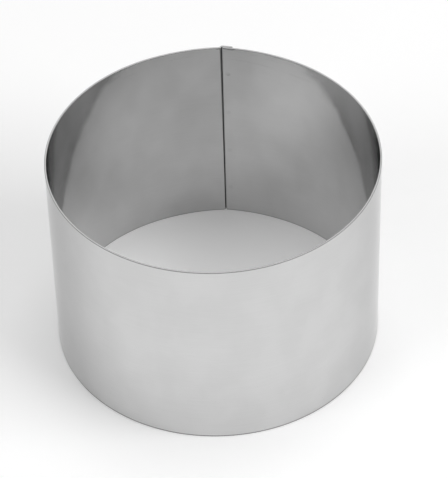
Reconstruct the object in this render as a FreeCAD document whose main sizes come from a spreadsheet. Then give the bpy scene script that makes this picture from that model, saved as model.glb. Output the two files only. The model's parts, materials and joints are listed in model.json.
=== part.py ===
import FreeCAD, Part
import math
import os
import Sketcher

# A plain pastry mould ring: one strip of steel sheet rolled into an open ring.
# At the back (+Y) the strip's left end steps outwards in a joggle and laps over its right end,
# and a row of spot welds holds the lap. The ring stands on z = 0 with its axis on Z.

# Driving sizes in millimetres: name, value, what it measures
sizes = [
    ("outside_diameter", 88.0, "outside diameter of the round wall"),
    ("wall_height", 60.0, "height of the strip"),
    ("sheet_thickness", 0.5, "thickness of the sheet"),
    ("edge_radius", 0.1, "rounding of the deburred edges"),
    ("seam_rise", 0.8, "how far the wall stands out of round at the seam"),
    ("seam_reach", 20.5, "how far to each side of the seam the flatter ends reach"),
    ("lap_length", 2.6, "how far the outer end runs past the inner end"),
    ("lap_gap", 0.08, "hairline between the two layers of the lap"),
    ("bend_radius", 0.25, "inside radius of the two bends of the joggle"),
    ("end_clearance", 0.1, "from the joggle to the inner end"),
    ("weld_diameter", 1.8, "diameter of a spot weld"),
    ("weld_dent", 0.05, "depth of the electrode mark on each side of a weld"),
    ("weld_margin", 9.0, "from each rim to the nearest weld"),
    ("weld_count", 4, "number of spot welds"),
]

# A dent is cut this much wider than its weld, so that it runs out through the surface
DENT_OVERRUN = 1.25

FULL_TURN = 360
TINY = 1e-6

# What a sketch holds from the start: its origin, its Y axis and the first edge taken from another sketch
ORIGIN = (-1, 1)
Y_AXIS, LAP_ARC = range(-2, -4, -1)


def make_sheet(doc):
    sheet = doc.addObject("Spreadsheet::Sheet", "Sizes")
    for row, (name, value, meaning) in enumerate(sizes, start=1):
        sheet.set(f"A{row}", name)
        sheet.set(f"B{row}", str(value))
        sheet.set(f"C{row}", meaning)
        sheet.setAlias(f"B{row}", name)
    doc.recompute()
    return sheet


# Sketching

def origin_feature(body, role):
    return next(item for item in body.Origin.OriginFeatures if item.Role == role)


def new_sketch(body, name):
    sketch = body.newObject("Sketcher::SketchObject", name)
    sketch.AttachmentSupport = [(origin_feature(body, "XY_Plane"), "")]
    sketch.MapMode = "FlatFace"
    return sketch


def start_of(piece):
    return (piece, 1)


def end_of(piece):
    return (piece, 2)


def centre_of(piece):
    return (piece, 3)


def hold(sketch, kind, *places):
    # Each place is a piece of the sketch, or a pair of a piece and one of its points
    numbers = []
    for place in places:
        numbers.extend(place if isinstance(place, tuple) else [place])
    return sketch.addConstraint(Sketcher.Constraint(kind, *numbers))


def drive(sketch, name, expression, kind, *places):
    # A named dimension whose value comes from the sheet
    index = hold(sketch, kind, *places, float(sketch.evalExpression(expression)))
    sketch.renameConstraint(index, name)
    sketch.setExpression(f"Constraints.{name}", expression)


def line(first, last):
    return Part.LineSegment(FreeCAD.Vector(*first, 0), FreeCAD.Vector(*last, 0))


def arc(centre, radius, first, last):
    # Runs counter-clockwise from the direction of one point to the direction of another
    circle = Part.Circle(FreeCAD.Vector(*centre, 0), FreeCAD.Vector(0, 0, 1), radius)
    start = math.atan2(first[1] - centre[1], first[0] - centre[0])
    end = math.atan2(last[1] - centre[1], last[0] - centre[0])
    if end <= start:
        end += 2 * math.pi
    return Part.ArcOfCircle(circle, start, end)


def towards(first, last, distance):
    # Point at a distance from one point, in the direction of another
    share = distance / math.dist(first, last)
    return (first[0] + share * (last[0] - first[0]), first[1] + share * (last[1] - first[1]))


def aside(foot, first, last, distance):
    # Point at a distance to the right of a foot, seen along the line from one point to another
    unit = towards((0, 0), (last[0] - first[0], last[1] - first[1]), 1)
    return (foot[0] + distance * unit[1], foot[1] - distance * unit[0])


def on_circle(centre, radius, x):
    # Upper point of a circle at a given x
    return (x, centre[1] + math.sqrt(radius**2 - (x - centre[0])**2))


def left_crossing(first, first_radius, second, second_radius):
    # Left-hand point where two circles cross
    apart = math.dist(first, second)
    along = (apart**2 + first_radius**2 - second_radius**2) / (2 * apart)
    foot = towards(first, second, along)
    half_chord = math.sqrt(first_radius**2 - along**2)
    return min(aside(foot, first, second, half_chord), aside(foot, first, second, -half_chord))


# The strip seen from above: an outer and an inner line of tangent arcs, closed by the two cut ends

def draw_plan(sketch, sheet):
    # First places of all arcs and lines, which the dimensions then hold
    radius = sheet.outside_diameter / 2
    thickness = sheet.sheet_thickness
    bend = sheet.bend_radius
    centre = (0, 0)
    seam = (0, radius + sheet.seam_rise)

    # The flatter ends have a larger radius, and their centres lie across the axis from them
    lean = math.asin(sheet.seam_reach / radius)
    offset = (seam[1]**2 - radius**2) / (2 * (radius - seam[1] * math.cos(lean)))
    flatter = radius + offset
    right_centre = (-offset * math.sin(lean), -offset * math.cos(lean))
    left_centre = (-right_centre[0], right_centre[1])
    right = (radius * math.sin(lean), radius * math.cos(lean))
    left = (-right[0], right[1])

    # The outer layer runs round the centre of the layer that it covers
    lap = flatter + sheet.lap_gap
    lap_start = on_circle(right_centre, lap, -sheet.end_clearance)
    lap_end = on_circle(right_centre, lap, sheet.lap_length)
    crest_centre = towards(right_centre, lap_start, lap - bend)
    dip_centre = left_crossing(left_centre, flatter + bend, crest_centre, 2 * bend + thickness)

    outer = {}
    inner = {}

    def stretch(name, middle, outer_radius, inner_radius, first, last):
        # One stretch of the strip, as two arcs about the same centre
        outer[name] = sketch.addGeometry(arc(middle, outer_radius, first, last))
        inner[name] = sketch.addGeometry(arc(middle, inner_radius, first, last))

    stretch("round", centre, radius, radius - thickness, left, right)
    stretch("right", right_centre, flatter, flatter - thickness, right, seam)
    stretch("left", left_centre, flatter, flatter - thickness, dip_centre, left)
    stretch("dip", dip_centre, bend, bend + thickness, left_centre, crest_centre)
    stretch("crest", crest_centre, bend + thickness, bend, lap_start, dip_centre)
    stretch("lap", right_centre, lap + thickness, lap, lap_end, lap_start)

    inner_end = line(towards(right_centre, seam, flatter - thickness), seam)
    outer_end = line(towards(right_centre, lap_end, lap + thickness), lap_end)
    hairline = line(seam, towards(right_centre, seam, lap))
    ends = {
        "inner": sketch.addGeometry(inner_end),
        "outer": sketch.addGeometry(outer_end),
        "hairline": sketch.addGeometry(hairline, True),
    }
    return outer, inner, ends


def size_plan(sketch, outer, inner, ends):
    # The two arcs of each stretch are concentric
    hold(sketch, "Coincident", centre_of(outer["round"]), ORIGIN)
    hold(sketch, "Coincident", centre_of(outer["lap"]), centre_of(outer["right"]))
    for name in outer:
        hold(sketch, "Coincident", centre_of(inner[name]), centre_of(outer[name]))

    # The stretches run into one another without a kink, on both faces of the sheet
    for side in (outer, inner):
        hold(sketch, "Tangent", end_of(side["round"]), start_of(side["right"]))
        hold(sketch, "Tangent", start_of(side["round"]), end_of(side["left"]))
        hold(sketch, "Tangent", start_of(side["left"]), start_of(side["dip"]))
        hold(sketch, "Tangent", end_of(side["dip"]), end_of(side["crest"]))
        hold(sketch, "Tangent", start_of(side["crest"]), end_of(side["lap"]))

    # The cut ends close the strip, square to the sheet
    hold(sketch, "Coincident", start_of(ends["inner"]), end_of(inner["right"]))
    hold(sketch, "Coincident", end_of(ends["inner"]), end_of(outer["right"]))
    hold(sketch, "Coincident", start_of(ends["outer"]), start_of(outer["lap"]))
    hold(sketch, "Coincident", end_of(ends["outer"]), start_of(inner["lap"]))
    for cut in ends.values():
        hold(sketch, "PointOnObject", centre_of(outer["right"]), cut)

    # The inner end lies on the Y axis, and the hairline runs on from it to the outer layer
    hold(sketch, "PointOnObject", end_of(outer["right"]), Y_AXIS)
    hold(sketch, "Coincident", start_of(ends["hairline"]), end_of(outer["right"]))
    hold(sketch, "PointOnObject", end_of(ends["hairline"]), inner["lap"])

    # Both ends are flattened alike, and both bends are alike
    hold(sketch, "Equal", outer["right"], outer["left"])
    hold(sketch, "Equal", outer["dip"], inner["crest"])

    radius = "Sizes.outside_diameter / 2"
    drive(sketch, "outside_radius", radius, "Radius", outer["round"])
    drive(sketch, "inside_radius", f"{radius} - Sizes.sheet_thickness", "Radius", inner["round"])
    seam = end_of(outer["right"])
    right = start_of(outer["right"])
    left = end_of(outer["left"])
    drive(sketch, "seam_height", f"{radius} + Sizes.seam_rise", "DistanceY", ORIGIN, seam)
    drive(sketch, "reach_right", "Sizes.seam_reach", "DistanceX", ORIGIN, right)
    drive(sketch, "reach_left", "Sizes.seam_reach", "DistanceX", left, ORIGIN)
    drive(sketch, "lap_gap", "Sizes.lap_gap", "Distance", ends["hairline"])
    drive(sketch, "bend_radius", "Sizes.bend_radius", "Radius", outer["dip"])
    lap_start = start_of(inner["crest"])
    lap_end = start_of(inner["lap"])
    drive(sketch, "end_clearance", "Sizes.end_clearance", "DistanceX", lap_start, ORIGIN)
    drive(sketch, "lap_length", "Sizes.lap_length", "DistanceX", ORIGIN, lap_end)


# The spot welds: each is a section turned about the line that is square to the lap at its middle

def draw_weld_line(sketch, plan, lap):
    # From the centre of the lap's arc to its outer face, half way along the lap
    for number, edge in enumerate(plan.Shape.Edges, start=1):
        if edge.Curve.TypeId == "Part::GeomCircle" and abs(edge.Curve.Radius - lap.Radius) < TINY:
            sketch.addExternal(plan.Name, f"Edge{number}")
    half_lap = "Sizes.lap_length / 2"
    middle = (lap.Center.x, lap.Center.y)
    surface = on_circle(middle, lap.Radius, float(sketch.evalExpression(half_lap)))
    axis = sketch.addGeometry(line(middle, surface), True)
    hold(sketch, "Coincident", start_of(axis), centre_of(LAP_ARC))
    hold(sketch, "PointOnObject", end_of(axis), LAP_ARC)
    drive(sketch, "half_lap", half_lap, "DistanceX", ORIGIN, end_of(axis))
    return axis, middle, surface


def draw_plug(sketch, plan, lap, sheet):
    # Joined metal of one weld, from the middle of one layer to the middle of the other
    axis, middle, surface = draw_weld_line(sketch, plan, lap)
    depth = "Sizes.sheet_thickness / 2"
    length = "Sizes.sheet_thickness + Sizes.lap_gap"
    half = sheet.weld_diameter / 2
    high = towards(surface, middle, float(sketch.evalExpression(depth)))
    low = towards(high, middle, float(sketch.evalExpression(length)))
    corners = [low, high, aside(high, middle, surface, half), aside(low, middle, surface, half)]
    sides = [sketch.addGeometry(line(*pair)) for pair in zip(corners, corners[1:] + corners[:1])]
    core, top, wall, floor = sides
    for first, second in zip(sides, sides[1:] + sides[:1]):
        hold(sketch, "Coincident", end_of(first), start_of(second))
    hold(sketch, "PointOnObject", start_of(core), axis)
    hold(sketch, "PointOnObject", end_of(core), axis)
    hold(sketch, "Perpendicular", top, axis)
    hold(sketch, "Perpendicular", floor, axis)
    hold(sketch, "Parallel", wall, axis)
    drive(sketch, "plug_depth", depth, "Distance", end_of(core), end_of(axis))
    drive(sketch, "plug_length", length, "Distance", core)
    drive(sketch, "plug_radius", "Sizes.weld_diameter / 2", "Distance", top)


def draw_dents(sketch, plan, lap, sheet):
    # Shallow round marks that the electrodes leave, one on the outer face and one on the inner
    axis, middle, surface = draw_weld_line(sketch, plan, lap)
    rim = DENT_OVERRUN * sheet.weld_diameter / 2
    ball = ((sheet.weld_diameter / 2)**2 + sheet.weld_dent**2) / (2 * sheet.weld_dent)
    rise = ball - math.sqrt(ball**2 - rim**2)
    outer_depth = "Sizes.weld_dent"
    inner_depth = "2 * Sizes.sheet_thickness + Sizes.lap_gap - Sizes.weld_dent"
    for name, side, depth in (("outer", -1, outer_depth), ("inner", 1, inner_depth)):
        low = towards(surface, middle, float(sketch.evalExpression(depth)))
        lid_centre = towards(low, middle, side * rise)
        lid_rim = aside(lid_centre, middle, surface, -side * rim)
        dish = sketch.addGeometry(arc(towards(low, middle, side * ball), ball, low, lid_rim))
        core = sketch.addGeometry(line(lid_centre, low))
        lid = sketch.addGeometry(line(lid_rim, lid_centre))
        hold(sketch, "Coincident", end_of(core), start_of(dish))
        hold(sketch, "Coincident", end_of(dish), start_of(lid))
        hold(sketch, "Coincident", end_of(lid), start_of(core))
        hold(sketch, "PointOnObject", centre_of(dish), axis)
        hold(sketch, "PointOnObject", start_of(core), axis)
        hold(sketch, "PointOnObject", end_of(core), axis)
        hold(sketch, "Perpendicular", lid, axis)
        drive(sketch, f"{name}_depth", depth, "Distance", end_of(core), end_of(axis))
        drive(sketch, f"{name}_rim", f"{DENT_OVERRUN} * Sizes.weld_diameter / 2", "Distance", lid)
        drive(sketch, f"{name}_ball",
              "((Sizes.weld_diameter / 2)^2 + Sizes.weld_dent^2) / (2 * Sizes.weld_dent)",
              "Radius", dish)


# The ring

def flat_face_edges(shape):
    # The edges of both rims and of both cut ends
    names = []
    for number, edge in enumerate(shape.Edges, start=1):
        faces = shape.ancestorsOfType(edge, Part.Face)
        if any(face.Surface.TypeId == "Part::GeomPlane" for face in faces):
            names.append(f"Edge{number}")
    return names


def turn(body, kind, name, section):
    feature = body.newObject(kind, name)
    feature.Profile = section
    feature.ReferenceAxis = (section, ["Axis0"])
    feature.Angle = FULL_TURN
    body.Document.recompute()
    return feature


def make_ring(doc, sheet):
    body = doc.addObject("PartDesign::Body", "Ring")
    body.Label = "mould_ring"
    body.Placement = FreeCAD.Placement()

    # The rolled strip
    plan = new_sketch(body, "Plan")
    doc.recompute()
    outer, inner, ends = draw_plan(plan, sheet)
    size_plan(plan, outer, inner, ends)
    wall = body.newObject("PartDesign::Pad", "Wall")
    wall.Profile = plan
    wall.setExpression("Length", "Sizes.wall_height")
    doc.recompute()
    lap = plan.Geometry[outer["lap"]]

    # Deburred edges
    rounded = body.newObject("PartDesign::Fillet", "RoundedEdges")
    rounded.Base = (wall, flat_face_edges(wall.Shape))
    rounded.setExpression("Radius", "Sizes.edge_radius")

    # The lowest weld with its two dents
    plug_section = new_sketch(body, "PlugSection")
    dent_section = new_sketch(body, "DentSection")
    for section in (plug_section, dent_section):
        section.setExpression(".AttachmentOffset.Base.z", "Sizes.weld_margin")
    doc.recompute()
    draw_plug(plug_section, plan, lap, sheet)
    draw_dents(dent_section, plan, lap, sheet)
    doc.recompute()
    plug = turn(body, "PartDesign::Revolution", "WeldPlug", plug_section)
    dents = turn(body, "PartDesign::Groove", "WeldDents", dent_section)
    if not dents.Shape.Volume < plug.Shape.Volume > rounded.Shape.Volume:
        raise RuntimeError("the weld adds no metal, or its dents cut none")

    # The row of welds up the lap
    row = body.newObject("PartDesign::LinearPattern", "WeldRow")
    row.Originals = [plug, dents]
    row.Direction = (origin_feature(body, "Z_Axis"), [""])
    row.setExpression("Length", "Sizes.wall_height - 2 * Sizes.weld_margin")
    row.setExpression("Occurrences", "Sizes.weld_count")
    body.Tip = row
    doc.recompute()
    return body


def check(doc, ring):
    for thing in doc.Objects:
        if "Invalid" in thing.State or "Error" in thing.State:
            raise RuntimeError(f"{thing.Name} failed: {thing.State}")
    if ring.Shape.isNull() or not ring.Shape.isValid() or len(ring.Shape.Solids) != 1:
        raise RuntimeError("the ring is not one valid solid")


def main():
    doc = FreeCAD.newDocument("PastryMould")
    sheet = make_sheet(doc)
    ring = make_ring(doc, sheet)
    check(doc, ring)
    os.makedirs("parts", exist_ok=True)
    ring.Shape.exportStep(f"parts/{ring.Label}.step")
    box = ring.Shape.optimalBoundingBox()
    print(f"{ring.Label}: {ring.Shape.Volume:.1f} mm3, {len(ring.Shape.Faces)} faces,"
          f" {box.XLength:.2f} x {box.YLength:.2f} x {box.ZLength:.2f} mm")


main()
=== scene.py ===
import json
import math

import bmesh
import bpy
from mathutils import Matrix, Vector

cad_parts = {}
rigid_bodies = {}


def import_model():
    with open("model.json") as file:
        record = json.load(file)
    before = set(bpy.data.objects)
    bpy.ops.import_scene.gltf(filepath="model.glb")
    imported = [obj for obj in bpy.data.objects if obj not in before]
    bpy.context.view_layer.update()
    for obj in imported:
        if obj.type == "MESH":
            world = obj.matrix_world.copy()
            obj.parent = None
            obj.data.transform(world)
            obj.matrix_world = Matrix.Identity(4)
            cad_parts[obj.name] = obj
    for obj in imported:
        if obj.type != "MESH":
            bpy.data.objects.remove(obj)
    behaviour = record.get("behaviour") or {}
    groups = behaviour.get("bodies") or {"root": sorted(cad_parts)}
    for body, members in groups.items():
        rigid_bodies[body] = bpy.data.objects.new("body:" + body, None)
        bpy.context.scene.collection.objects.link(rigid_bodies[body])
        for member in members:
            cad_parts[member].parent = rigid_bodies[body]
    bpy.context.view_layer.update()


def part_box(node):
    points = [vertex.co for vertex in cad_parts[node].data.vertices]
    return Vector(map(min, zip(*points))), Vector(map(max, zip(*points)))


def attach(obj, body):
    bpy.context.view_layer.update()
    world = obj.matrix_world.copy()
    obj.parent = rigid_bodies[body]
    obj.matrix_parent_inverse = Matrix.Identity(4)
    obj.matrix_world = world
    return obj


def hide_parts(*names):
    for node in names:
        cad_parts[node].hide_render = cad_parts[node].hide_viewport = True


for item in list(bpy.data.objects):  # what the start-up scene holds
    bpy.data.objects.remove(item)

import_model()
print("frame loaded")

# A plain pastry mould: one strip of steel sheet, rolled into an open ring that laps over itself
# at the back and is held there by a row of spot welds. Lengths in the dictionaries are millimetres,
# apart from those that say metres.
mm = 0.001
upright = Vector((0, 0, 1))


# Helpers for node trees

def addNode(tree, kind, inputs=None, **settings):  # an input is a value or the socket that feeds it
    node = tree.nodes.new(kind)
    for name, value in settings.items():
        setattr(node, name, value)
    for name, value in (inputs or {}).items():
        if isinstance(value, bpy.types.NodeSocket):
            tree.links.new(value, node.inputs[name])
        else:
            node.inputs[name].default_value = value
    return node


def calculate(tree, operation, *values):
    return addNode(tree, "ShaderNodeMath", dict(enumerate(values)), operation=operation).outputs[0]


def combine(tree, operation, *values):  # the same for vectors
    return addNode(tree, "ShaderNodeVectorMath", dict(enumerate(values)), operation=operation).outputs[0]


def scaled(tree, vector, factor):
    return addNode(tree, "ShaderNodeVectorMath", {0: vector, "Scale": factor}, operation="SCALE").outputs[0]


def newTree(name, kind, inputs, outputs):
    tree = bpy.data.node_groups.new(name, kind)
    for inOut, sockets in (("INPUT", inputs), ("OUTPUT", outputs)):
        for socketName, socketKind in sockets.items():
            tree.interface.new_socket(socketName, in_out=inOut, socket_type="NodeSocket" + socketKind)
    return tree, tree.nodes.new("NodeGroupInput").outputs, tree.nodes.new("NodeGroupOutput").inputs


# The sheet's way round the ring, seen from above

sheet = {
    "thickness": 0.5,
    "edgeRadius": 0.1,  # rounding of the deburred edges
    "edgeSegments": 4,
    "seamRise": 0.8,  # how far the wall stands out of round at the seam
    "seamReach": 20.5,  # how far to each side of the seam the flatter ends reach
    "lapLength": 2.6,  # how far the outer end runs past the inner end
    "lapGap": 0.08,  # hairline between the two layers
    "bendRadius": 0.25,  # inside radius of the two bends of the joggle
    "endClearance": 0.1,  # from the joggle to the inner end
    "wideStep": 1.05,  # distance between mesh lines round the wall
    "fineStep": 0.16,  # and at the lap
    "bendStep": 0.07,  # and in the joggle
    "lineStep": 0.1,  # distance between the points of the rolling line
    "joinDistance": 0.001,  # within which the ends of two of its arcs become one point
    "heightSteps": 84,  # mesh rows up the wall
    "weldCrowding": 0.75,  # how much the mesh lines draw together at the welds, from 0 to 1
}

welds = {
    "diameter": 1.8,
    "dent": 0.05,  # depth of the mark on each side
    "flatShare": 0.45,  # share of the mark that is level
    "margin": 9.0,  # from each rim to the nearest weld
    "count": 4,
}


def towards(first, last):  # angle of the direction from one point to another
    return math.atan2(last[1] - first[1], last[0] - first[0])


def atAngle(centre, radius, angle):
    return (centre[0] + radius * math.cos(angle), centre[1] + radius * math.sin(angle))


def onCircle(centre, radius, x):  # the circle's upper point at that x
    return (x, centre[1] + math.sqrt(radius ** 2 - (x - centre[0]) ** 2))


def leftCrossing(first, firstRadius, last, lastRadius):  # where two circles cross, on the left
    apart = math.dist(first, last)
    cosine = (apart ** 2 + firstRadius ** 2 - lastRadius ** 2) / (2 * apart * firstRadius)
    return atAngle(first, firstRadius, towards(first, last) + math.acos(cosine))


def planSheet(radius):
    # Arcs of the sheet's middle line, clockwise from its inner end, each with its first and last angle,
    # and how far along that line the welds lie in the inner and in the outer layer
    half = sheet["thickness"] / 2
    bend = sheet["bendRadius"]
    seam = (0, radius + sheet["seamRise"])

    # The flatter arcs beside the seam run smoothly into the round wall: their centres lie beyond its axis
    lean = math.asin(sheet["seamReach"] / radius)
    offset = (seam[1] ** 2 - radius ** 2) / (2 * (radius - seam[1] * math.cos(lean)))
    flatter = radius + offset
    right = (-offset * math.sin(lean), -offset * math.cos(lean))
    left = (-right[0], right[1])

    lap = flatter + sheet["lapGap"]
    seamAngle = towards(right, seam)
    lapStart = towards(right, onCircle(right, lap, -sheet["endClearance"]))
    lapEnd = towards(right, onCircle(right, lap, sheet["lapLength"]))
    crest = atAngle(right, lap - bend, lapStart)
    dip = leftCrossing(left, flatter + bend, crest, 2 * (bend + half))

    back = math.pi / 2
    arcs = [
        {"centre": right, "radius": flatter - half, "first": seamAngle, "last": back - lean},
        {"centre": (0, 0), "radius": radius - half, "first": back - lean, "last": back + lean - math.tau},
        {"centre": left, "radius": flatter - half, "first": back + lean, "last": towards(left, dip)},
        {"centre": dip, "radius": bend + half, "first": towards(dip, left), "last": towards(dip, crest)},
        {"centre": crest, "radius": bend + half, "first": towards(crest, dip), "last": lapStart},
        {"centre": right, "radius": lap + half, "first": lapStart, "last": lapEnd},
    ]
    for arc in arcs:
        arc["length"] = arc["radius"] * abs(arc["last"] - arc["first"])

    weldAngle = towards(right, onCircle(right, lap + 2 * half, sheet["lapLength"] / 2))
    total = sum(arc["length"] for arc in arcs)
    innerWeld = (seamAngle - weldAngle) * (flatter - half)
    outerWeld = total - (weldAngle - lapEnd) * (lap + half)
    return arcs, innerWeld, outerWeld


# The flat blank, with mesh lines close together where the sheet bends and where it is welded

def alongLines(arcs):
    right, front, left, dip, crest, lap = [arc["length"] for arc in arcs]
    fine = sheet["lapLength"] + 2 * sheet["fineStep"]
    spans = [(fine, "fineStep"), (right - fine, "wideStep"), (front, "wideStep"), (left, "wideStep"),
             (dip, "bendStep"), (crest, "bendStep"), (lap, "fineStep")]
    lines = [0]
    for length, step in spans:
        count = math.ceil(length / sheet[step])
        lines += [lines[-1] + length * share / count for share in range(1, count + 1)]
    return lines


def heightLines(wallHeight):
    spacing = (wallHeight - 2 * welds["margin"]) / (welds["count"] - 1)
    lines = []
    for step in range(sheet["heightSteps"] + 1):
        height = wallHeight * step / sheet["heightSteps"]
        turn = math.tau * (height - welds["margin"]) / spacing
        if abs(height - wallHeight / 2) < welds["count"] * spacing / 2:
            height -= sheet["weldCrowding"] * spacing / math.tau * math.sin(turn)
        lines.append(height)
    return lines, spacing


def cutBlank(name, alongs, heights):
    form = bmesh.new()
    half = sheet["thickness"] / 2
    inside, outside = [
        [[form.verts.new((x * mm, y * mm, z * mm)) for z in heights] for x in alongs]
        for y in (-half, half)
    ]
    lastAlong, lastHeight = len(alongs) - 1, len(heights) - 1
    for side in (inside, outside):
        for i in range(lastAlong):
            for j in range(lastHeight):
                form.faces.new((side[i][j], side[i + 1][j], side[i + 1][j + 1], side[i][j + 1]))
    for i in range(lastAlong):  # both rims
        for j in (0, lastHeight):
            form.faces.new((inside[i][j], inside[i + 1][j], outside[i + 1][j], outside[i][j]))
    for j in range(lastHeight):  # both cut ends
        for i in (0, lastAlong):
            form.faces.new((inside[i][j], inside[i][j + 1], outside[i][j + 1], outside[i][j]))
    bmesh.ops.recalc_face_normals(form, faces=form.faces)
    mesh = bpy.data.meshes.new(name)
    form.to_mesh(mesh)
    form.free()
    mesh.shade_smooth()
    blank = bpy.data.objects.new(name, mesh)
    bpy.context.scene.collection.objects.link(blank)
    deburr = blank.modifiers.new("deburredEdges", "BEVEL")
    deburr.width = sheet["edgeRadius"] * mm
    deburr.segments = sheet["edgeSegments"]
    deburr.limit_method = "ANGLE"
    deburr.use_clamp_overlap = False
    return blank


# Rolling: the blank's length follows the arcs, and the electrodes press their marks

def rollingLine(tree, arcs):
    joined = tree.nodes.new("GeometryNodeJoinGeometry")
    for arc in reversed(arcs):
        bow = addNode(tree, "GeometryNodeCurveArc", {
            "Resolution": math.ceil(arc["length"] / sheet["lineStep"]) + 1,
            "Radius": arc["radius"] * mm,
            "Start Angle": arc["first"],
            "Sweep Angle": arc["last"] - arc["first"],
        }, mode="RADIUS")
        placed = addNode(tree, "GeometryNodeTransform", {
            "Geometry": bow.outputs["Curve"],
            "Translation": (arc["centre"][0] * mm, arc["centre"][1] * mm, 0),
        })
        tree.links.new(placed.outputs["Geometry"], joined.inputs["Geometry"])
    edges = addNode(tree, "GeometryNodeCurveToMesh", {"Curve": joined.outputs["Geometry"]})
    chained = addNode(tree, "GeometryNodeMergeByDistance", {
        "Geometry": edges.outputs["Mesh"], "Distance": sheet["joinDistance"] * mm,
    })
    return addNode(tree, "GeometryNodeMeshToCurve", {"Mesh": chained.outputs["Geometry"]}).outputs["Curve"]


def rollTree(arcs):
    tree, given, result = newTree("rollSheet", "GeometryNodeTree", {
        "Blank": "Geometry",
        "Weld Diameter": "Float",
        "Weld Dent": "Float",
        "Weld Flat Share": "Float",
        "Weld Margin": "Float",
        "Weld Spacing": "Float",
        "Inner Weld": "Float",
        "Outer Weld": "Float",
        "Material": "Material",
    }, {"Ring": "Geometry"})

    flatPlace = tree.nodes.new("GeometryNodeInputPosition").outputs["Position"]
    split = addNode(tree, "ShaderNodeSeparateXYZ", {0: flatPlace}).outputs
    along, depth, height = split["X"], split["Y"], split["Z"]

    # Distance from the nearest weld on the same face of the sheet
    outerFace = calculate(tree, "GREATER_THAN", depth, 0)
    layerStep = calculate(tree, "SUBTRACT", given["Outer Weld"], given["Inner Weld"])
    weldLine = calculate(tree, "MULTIPLY_ADD", outerFace, layerStep, given["Inner Weld"])
    sideways = calculate(tree, "SUBTRACT", along, weldLine)
    rowHeight = calculate(tree, "SUBTRACT", height, given["Weld Margin"])
    upwards = calculate(tree, "PINGPONG", rowHeight, calculate(tree, "DIVIDE", given["Weld Spacing"], 2))
    sideways2 = calculate(tree, "MULTIPLY", sideways, sideways)
    distance = calculate(tree, "SQRT", calculate(tree, "MULTIPLY_ADD", upwards, upwards, sideways2))
    rim = calculate(tree, "DIVIDE", given["Weld Diameter"], 2)
    mark = addNode(tree, "ShaderNodeMapRange", {
        "Value": distance,
        "From Min": calculate(tree, "MULTIPLY", rim, given["Weld Flat Share"]),
        "From Max": rim,
        "To Min": 1,
        "To Max": 0,
    }, interpolation_type="SMOOTHERSTEP").outputs["Result"]
    press = calculate(tree, "MULTIPLY", calculate(tree, "SIGN", depth), given["Weld Dent"])
    pressed = calculate(tree, "SUBTRACT", depth, calculate(tree, "MULTIPLY", mark, press))

    # Attributes for the finish: the place on the flat sheet in millimetres, and the weld marks
    mapped = addNode(tree, "GeometryNodeStoreNamedAttribute", {
        "Geometry": given["Blank"], "Name": "sheetMap", "Value": scaled(tree, flatPlace, 1 / mm),
    }, data_type="FLOAT_VECTOR")
    marked = addNode(tree, "GeometryNodeStoreNamedAttribute", {
        "Geometry": mapped.outputs["Geometry"], "Name": "weldMark", "Value": mark,
    })

    # The place on the line, then across the sheet, then up
    line = addNode(tree, "GeometryNodeSampleCurve", {
        "Curves": rollingLine(tree, arcs), "Length": along,
    }, mode="LENGTH").outputs
    outward = combine(tree, "NORMALIZE", combine(tree, "CROSS_PRODUCT", upright, line["Tangent"]))
    rolled = combine(tree, "ADD", line["Position"], scaled(tree, outward, pressed))
    rolled = combine(tree, "ADD", rolled, addNode(tree, "ShaderNodeCombineXYZ", {"Z": height}).outputs[0])
    ring = addNode(tree, "GeometryNodeSetPosition", {
        "Geometry": marked.outputs["Geometry"], "Position": rolled,
    })
    real = addNode(tree, "GeometryNodeRealizeInstances", {"Geometry": ring.outputs["Geometry"]})
    finished = addNode(tree, "GeometryNodeSetMaterial", {
        "Geometry": real.outputs["Geometry"], "Material": given["Material"],
    })
    tree.links.new(finished.outputs["Geometry"], result["Ring"])
    return tree


def setInputs(modifier, values):  # by the sockets' identifiers
    for socket in modifier.node_group.interface.items_tree:
        if socket.name in values:
            modifier[socket.identifier] = values[socket.name]


def makePlain(thing):  # the modifiers' result becomes the mesh
    graph = bpy.context.evaluated_depsgraph_get()
    mesh = bpy.data.meshes.new_from_object(thing.evaluated_get(graph))
    mesh.name = thing.name
    thing.modifiers.clear()
    thing.data = mesh


def rollRing(name, radius, wallHeight, material):
    arcs, innerWeld, outerWeld = planSheet(radius)
    heights, spacing = heightLines(wallHeight)
    ring = cutBlank(name, alongLines(arcs), heights)
    roll = ring.modifiers.new("roll", "NODES")
    roll.node_group = rollTree(arcs)
    setInputs(roll, {
        "Weld Diameter": welds["diameter"] * mm,
        "Weld Dent": welds["dent"] * mm,
        "Weld Flat Share": welds["flatShare"],
        "Weld Margin": welds["margin"] * mm,
        "Weld Spacing": spacing * mm,
        "Inner Weld": innerWeld * mm,
        "Outer Weld": outerWeld * mm,
        "Material": material,
    })
    evenNormals = ring.modifiers.new("evenNormals", "WEIGHTED_NORMAL")
    evenNormals.keep_sharp = True
    makePlain(ring)
    print(f"ring rolled: {len(ring.data.polygons)} faces")
    return ring


# The steel: what the finish adds to the bare metal, each as a group of its own

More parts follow.
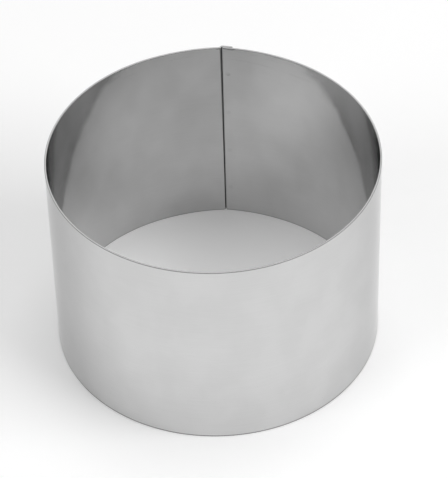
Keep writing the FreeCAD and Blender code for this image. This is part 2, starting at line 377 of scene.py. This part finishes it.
steel = {
    "colour": (0.625, 0.625, 0.625),
    "grazingTint": (0.85, 0.85, 0.85, 1),  # steel reflects less than other metals at a grazing angle
    "roughness": 0.05,
    # Rolling grain
    "grainWidth": 0.12,  # across the rolling direction
    "grainLength": 9.0,
    "grainNoise": (3, 0.6),  # detail and roughness of the noise
    "grainRange": (0.25, 0.75),  # part of the noise that is spread from 0 to 1
    "grainTone": 0.035,
    "grainRoughness": 0.03,
    # Soft clouds of four sizes
    "cloudNoise": (2, 0.45),
    "cloudRange": (0.3, 0.72),
    "cloudPace": 0.7,  # how fast they change up the wall, against along it
    "patchSize": 9.0,  # of the cloudy marks that wiping and handling leave
    "patchTone": 0.035,
    "patchRoughness": 0.05,
    "hazeSize": 1.8,  # of the finer marks in the gloss
    "hazeRoughness": 0.025,
    "smearSize": 17.0,  # of the broader smears on the inner face
    "smearTone": 0.1,
    "waveSize": 15.0,  # of the slight unevenness of the sheet
    "waveHeight": 0.05,
    # Hairline scratches
    "scratchWidth": 0.09,
    "scratchLength": 16.0,
    "scratchNoise": (1, 0.4),
    "scratchShare": 0.66,  # of the noise that shows no scratch
    "scratchFade": 0.12,  # and over which a scratch comes to its full depth
    "scratchRoughness": 0.03,
    "scratchRelief": 2,  # depth of the scratches against the height of the grain
    "reliefHeight": 0.004,
    "reliefStrength": 0.35,
    # Edges and welds
    "edgeTone": 0.8,  # brightness of the sheared edges against the faces
    "edgeRoughness": 0.5,
    "edgeBlend": 0.03,  # how far the finish of the edges fades into the faces
    "cornerShadeTone": 0.4,  # of the thin line of painted shade where a rim turns into the outer face: a painted contact shadow at the foot and a painted dark reflection at the upper rim
    "innerCornerShade": 0.5,  # how strong that line is on the inner face, against the outer one
    "cornerShadeReach": 0.28,  # how far it reaches down the face from the upper rim
    "footShadeReach": 0.48,  # and up the face from the lower rim, where it is a painted contact shadow
    "cornerShadeCreep": 0.14,  # and over both rims
    "cornerShadeCore": 0.6,  # share of those reaches at which it starts to fade
    "weldTone": 0.95,
    "weldRoughness": 0.08,
    # Other numbers put the marks in other places
    "seeds": {"grain": 1.0, "scratch": 2.0, "wave": 3.0, "patch": 4.0, "smear": 6.0, "haze": 9.0},
}


def noiseOn(tree, place, scales, detail, roughness, seed):
    stretch = addNode(tree, "ShaderNodeCombineXYZ", dict(zip("XYZ", scales))).outputs[0]
    return addNode(tree, "ShaderNodeTexNoise", {
        "Vector": combine(tree, "MULTIPLY", place, stretch),
        "W": seed, "Scale": 1, "Detail": detail, "Roughness": roughness,
    }, noise_dimensions="4D").outputs[0]


def ramp(tree, value, low, high, atLow=0, atHigh=1):  # a smooth step between two values
    return addNode(tree, "ShaderNodeMapRange", {
        "Value": value, "From Min": low, "From Max": high, "To Min": atLow, "To Max": atHigh,
    }, interpolation_type="SMOOTHSTEP").outputs["Result"]


def rollingGrainGroup():  # fine lines along the strip, from 0 to 1
    tree, given, result = newTree("rollingGrain", "ShaderNodeTree", {
        "Place": "Vector", "Width": "Float", "Length": "Float", "Seed": "Float",
    }, {"Grain": "Float"})
    across = calculate(tree, "DIVIDE", 1, given["Width"])
    along = calculate(tree, "DIVIDE", 1, given["Length"])
    grain = noiseOn(tree, given["Place"], (along, 1, across), *steel["grainNoise"], given["Seed"])
    tree.links.new(ramp(tree, grain, *steel["grainRange"]), result["Grain"])
    return tree


def cloudGroup():  # soft patches, from 0 to 1
    tree, given, result = newTree("wipedClouds", "ShaderNodeTree", {
        "Place": "Vector", "Size": "Float", "Seed": "Float",
    }, {"Cloud": "Float"})
    scale = calculate(tree, "DIVIDE", 1, given["Size"])
    slow = calculate(tree, "MULTIPLY", scale, steel["cloudPace"])
    cloud = noiseOn(tree, given["Place"], (scale, scale, slow), *steel["cloudNoise"], given["Seed"])
    tree.links.new(ramp(tree, cloud, *steel["cloudRange"]), result["Cloud"])
    return tree


def scratchGroup():  # sparse hairlines along the strip
    tree, given, result = newTree("hairScratches", "ShaderNodeTree", {
        "Place": "Vector", "Width": "Float", "Length": "Float", "Share": "Float", "Seed": "Float",
    }, {"Scratch": "Float"})
    across = calculate(tree, "DIVIDE", 1, given["Width"])
    along = calculate(tree, "DIVIDE", 1, given["Length"])
    line = noiseOn(tree, given["Place"], (along, 1, across), *steel["scratchNoise"], given["Seed"])
    full = calculate(tree, "ADD", given["Share"], steel["scratchFade"])
    tree.links.new(ramp(tree, line, given["Share"], full), result["Scratch"])
    return tree


def edgeGroup():  # the sheared edges: places between the two faces of the sheet
    tree, given, result = newTree("shearedEdge", "ShaderNodeTree", {
        "Place": "Vector", "Thickness": "Float", "Blend": "Float",
    }, {"Edge": "Float"})
    depth = addNode(tree, "ShaderNodeSeparateXYZ", {0: given["Place"]}).outputs["Y"]
    half = calculate(tree, "DIVIDE", given["Thickness"], 2)
    inward = calculate(tree, "SUBTRACT", half, calculate(tree, "ABSOLUTE", depth))
    tree.links.new(ramp(tree, inward, 0, given["Blend"]), result["Edge"])
    return tree


def paintedCornerShadeGroup():  # a thin line of painted shade along both rims, where they turn into the faces: a painted contact shadow at the foot and a painted dark reflection at the upper rim
    tree, given, result = newTree("rimCornerPaintedShade", "ShaderNodeTree", {
        "Place": "Vector", "Thickness": "Float", "Height": "Float",
        "Reach": "Float", "Foot": "Float", "Creep": "Float", "Inner": "Float",
    }, {"Corner": "Float"})
    split = addNode(tree, "ShaderNodeSeparateXYZ", {0: given["Place"]}).outputs
    half = calculate(tree, "DIVIDE", given["Thickness"], 2)
    inward = calculate(tree, "SUBTRACT", half, calculate(tree, "ABSOLUTE", split["Y"]))
    fromTop = calculate(tree, "SUBTRACT", given["Height"], split["Z"])
    fromRim = calculate(tree, "MINIMUM", split["Z"], fromTop)
    lower = calculate(tree, "LESS_THAN", split["Z"], calculate(tree, "DIVIDE", given["Height"], 2))
    down = calculate(tree, "DIVIDE", fromRim, ramp(tree, lower, 0, 1, given["Reach"], given["Foot"]))
    over = calculate(tree, "DIVIDE", inward, given["Creep"])
    over2 = calculate(tree, "MULTIPLY", over, over)
    apart = calculate(tree, "SQRT", calculate(tree, "MULTIPLY_ADD", down, down, over2))
    near = ramp(tree, apart, steel["cornerShadeCore"], 1, 1, 0)
    innerFace = calculate(tree, "LESS_THAN", split["Y"], 0)
    strength = ramp(tree, innerFace, 0, 1, 1, given["Inner"])
    tree.links.new(calculate(tree, "MULTIPLY", near, strength), result["Corner"])
    return tree


def useGroup(tree, group, inputs):
    return addNode(tree, "ShaderNodeGroup", inputs, node_tree=group).outputs[0]


def steelFinish(name, wallHeight):
    material = bpy.data.materials.new(name)
    material.use_nodes = True
    tree = material.node_tree
    metal = tree.nodes["Principled BSDF"]
    metal.inputs["Metallic"].default_value = 1
    metal.inputs["Specular Tint"].default_value = steel["grazingTint"]

    place = addNode(tree, "ShaderNodeAttribute", attribute_name="sheetMap").outputs["Vector"]
    weld = addNode(tree, "ShaderNodeAttribute", attribute_name="weldMark").outputs["Fac"]
    seeds = steel["seeds"]
    grain = useGroup(tree, rollingGrainGroup(), {
        "Place": place, "Width": steel["grainWidth"], "Length": steel["grainLength"],
        "Seed": seeds["grain"],
    })
    clouds = cloudGroup()
    cloud, haze, smear, wave = [
        useGroup(tree, clouds, {"Place": place, "Size": steel[kind + "Size"], "Seed": seeds[kind]})
        for kind in ("patch", "haze", "smear", "wave")
    ]
    scratch = useGroup(tree, scratchGroup(), {
        "Place": place, "Width": steel["scratchWidth"], "Length": steel["scratchLength"],
        "Share": steel["scratchShare"], "Seed": seeds["scratch"],
    })
    edge = useGroup(tree, edgeGroup(), {
        "Place": place, "Thickness": sheet["thickness"], "Blend": steel["edgeBlend"],
    })
    paintedCornerShade = useGroup(tree, paintedCornerShadeGroup(), {
        "Place": place, "Thickness": sheet["thickness"], "Height": wallHeight,
        "Reach": steel["cornerShadeReach"], "Foot": steel["footShadeReach"],
        "Creep": steel["cornerShadeCreep"], "Inner": steel["innerCornerShade"],
    })
    depth = addNode(tree, "ShaderNodeSeparateXYZ", {0: place}).outputs["Y"]
    innerFace = calculate(tree, "LESS_THAN", depth, 0)
    innerSmear = calculate(tree, "MULTIPLY", smear, innerFace)

    # Tone: each mark takes the colour of the metal down a little, and the rim corner line darkens it as
    # painted shade
    tone = ramp(tree, cloud, 0, 1, 1 - steel["patchTone"], 1)
    for mark, atLow, atHigh in (
        (innerSmear, 1, 1 - steel["smearTone"]),
        (grain, 1 - steel["grainTone"], 1),
        (edge, 1, steel["edgeTone"]),
        # painted shade: a contact shadow at the foot and a dark reflection at the upper rim
        (paintedCornerShade, 1, steel["cornerShadeTone"]),
        (weld, 1, steel["weldTone"]),
    ):
        tone = calculate(tree, "MULTIPLY", tone, ramp(tree, mark, 0, 1, atLow, atHigh))
    tree.links.new(scaled(tree, steel["colour"], tone), metal.inputs["Base Color"])

    # Roughness: each mark adds to it
    rough = calculate(tree, "MULTIPLY_ADD", cloud, steel["patchRoughness"], steel["roughness"])
    for mark, kind in (
        (haze, "haze"),
        (grain, "grain"),
        (scratch, "scratch"),
        (edge, "edge"),
        (weld, "weld"),
    ):
        rough = calculate(tree, "MULTIPLY_ADD", mark, steel[kind + "Roughness"], rough)
    tree.links.new(rough, metal.inputs["Roughness"])

    # Relief: the slow waves of the sheet, and the grain and the scratches on them
    uneven = addNode(tree, "ShaderNodeBump", {"Distance": steel["waveHeight"] * mm, "Height": wave})
    cuts = calculate(tree, "MULTIPLY", scratch, steel["scratchRelief"])
    fine = addNode(tree, "ShaderNodeBump", {
        "Strength": steel["reliefStrength"],
        "Distance": steel["reliefHeight"] * mm,
        "Height": calculate(tree, "SUBTRACT", grain, cuts),
        "Normal": uneven.outputs["Normal"],
    })
    tree.links.new(fine.outputs["Normal"], metal.inputs["Normal"])
    print("steel finished")
    return material


low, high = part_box("mould_ring")
wallHeight = (high.z - low.z) / mm
ring = rollRing("ring_body", high.x / mm, wallHeight, steelFinish("satinSteel", wallHeight))
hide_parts("mould_ring")
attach(ring, "root")


# The studio

studio = {
    "floorSize": 6.0,  # metres
    "floorColour": (0.88, 0.88, 0.88, 1),
    "floorRoughness": 0.9,
    "floorGlow": 0.14,  # what the camera and the steel see of the floor besides its light and shade
    "ambient": 0.4,  # strength of the light from all round
    "lamps": {  # name: place, width and height in metres, power in watts
        "keyLamp": ((1.18, -0.4, 0.94), 1.1, 0.6, 13.3),
        "fillLamp": ((-1.12, -0.75, 0.9), 0.8, 0.8, 6.0),
        "topLamp": ((0.05, 0.3, 1.5), 0.6, 0.6, 4.2),
    },
    "cameraPlace": (0, -517.53, 518.63),  # before the turn
    "cameraTurn": 4.65,  # degrees that the camera stands to the right of the place opposite the seam
    "cameraPitch": 43.35,  # degrees below level
    "cameraYaw": 0.25,  # degrees that it looks to the right of the ring's axis
    "cameraRoll": -1.66,  # degrees anticlockwise about the line of sight
    "cameraLens": 199.8,
    "cameraNear": 0.01,  # metres, the nearest that it draws
}


def seenDirectly(tree):  # 1 for what the camera sees, also in the steel, and 0 for what lights the floor
    path = tree.nodes.new("ShaderNodeLightPath").outputs
    seen = calculate(tree, "MAXIMUM", path["Is Camera Ray"], path["Is Glossy Ray"])
    seen = calculate(tree, "MAXIMUM", seen, path["Is Transmission Ray"])
    firstHand = calculate(tree, "LESS_THAN", path["Diffuse Depth"], 0.5)  # by way of no matt surface
    return calculate(tree, "MULTIPLY", seen, firstHand)


def makeFloor():
    bpy.ops.mesh.primitive_plane_add(size=studio["floorSize"])
    floor = bpy.context.object
    floor.name = "floor"
    material = bpy.data.materials.new("paleFloor")
    material.use_nodes = True
    tree = material.node_tree
    paint = tree.nodes["Principled BSDF"]
    paint.inputs["Base Color"].default_value = studio["floorColour"]
    paint.inputs["Roughness"].default_value = studio["floorRoughness"]
    paint.inputs["Specular IOR Level"].default_value = 0
    paint.inputs["Emission Color"].default_value = (1, 1, 1, 1)
    glow = calculate(tree, "MULTIPLY", seenDirectly(tree), studio["floorGlow"])
    tree.links.new(glow, paint.inputs["Emission Strength"])
    floor.data.materials.append(material)
    return floor


def makeWorld():
    world = bpy.data.worlds.new("softRoom")
    bpy.context.scene.world = world
    world.use_nodes = True
    tree = world.node_tree
    tree.nodes.clear()
    strength = calculate(tree, "MULTIPLY_ADD", seenDirectly(tree), 1 - studio["ambient"], studio["ambient"])
    room = addNode(tree, "ShaderNodeBackground", {"Color": (1, 1, 1, 1), "Strength": strength})
    output = tree.nodes.new("ShaderNodeOutputWorld")
    tree.links.new(room.outputs["Background"], output.inputs["Surface"])


def addLamp(name, place, width, height, power):
    lamp = bpy.data.lights.new(name, "AREA")
    lamp.shape = "RECTANGLE"
    lamp.size = width
    lamp.size_y = height
    lamp.energy = power
    holder = bpy.data.objects.new(name, lamp)
    holder.location = place
    holder.rotation_euler = (-Vector(place)).to_track_quat("-Z", "Y").to_euler()
    bpy.context.scene.collection.objects.link(holder)


def addCamera():
    camera = bpy.data.objects.new("camera", bpy.data.cameras.new("camera"))
    camera.data.lens = studio["cameraLens"]
    camera.data.clip_start = studio["cameraNear"]
    turn = Matrix.Rotation(math.radians(studio["cameraTurn"]), 4, "Z")
    place = turn @ (Vector(studio["cameraPlace"]) * mm)
    aim = turn @ Matrix.Rotation(-math.radians(studio["cameraYaw"]), 4, "Z")
    aim = aim @ Matrix.Rotation(math.radians(90 - studio["cameraPitch"]), 4, "X")
    aim = aim @ Matrix.Rotation(math.radians(studio["cameraRoll"]), 4, "Z")
    camera.matrix_world = Matrix.Translation(place) @ aim
    bpy.context.scene.collection.objects.link(camera)
    bpy.context.scene.camera = camera


makeFloor()
makeWorld()
for name, values in studio["lamps"].items():
    addLamp(name, *values)
addCamera()
bpy.context.scene.view_settings.view_transform = "Standard"
print("studio lit")
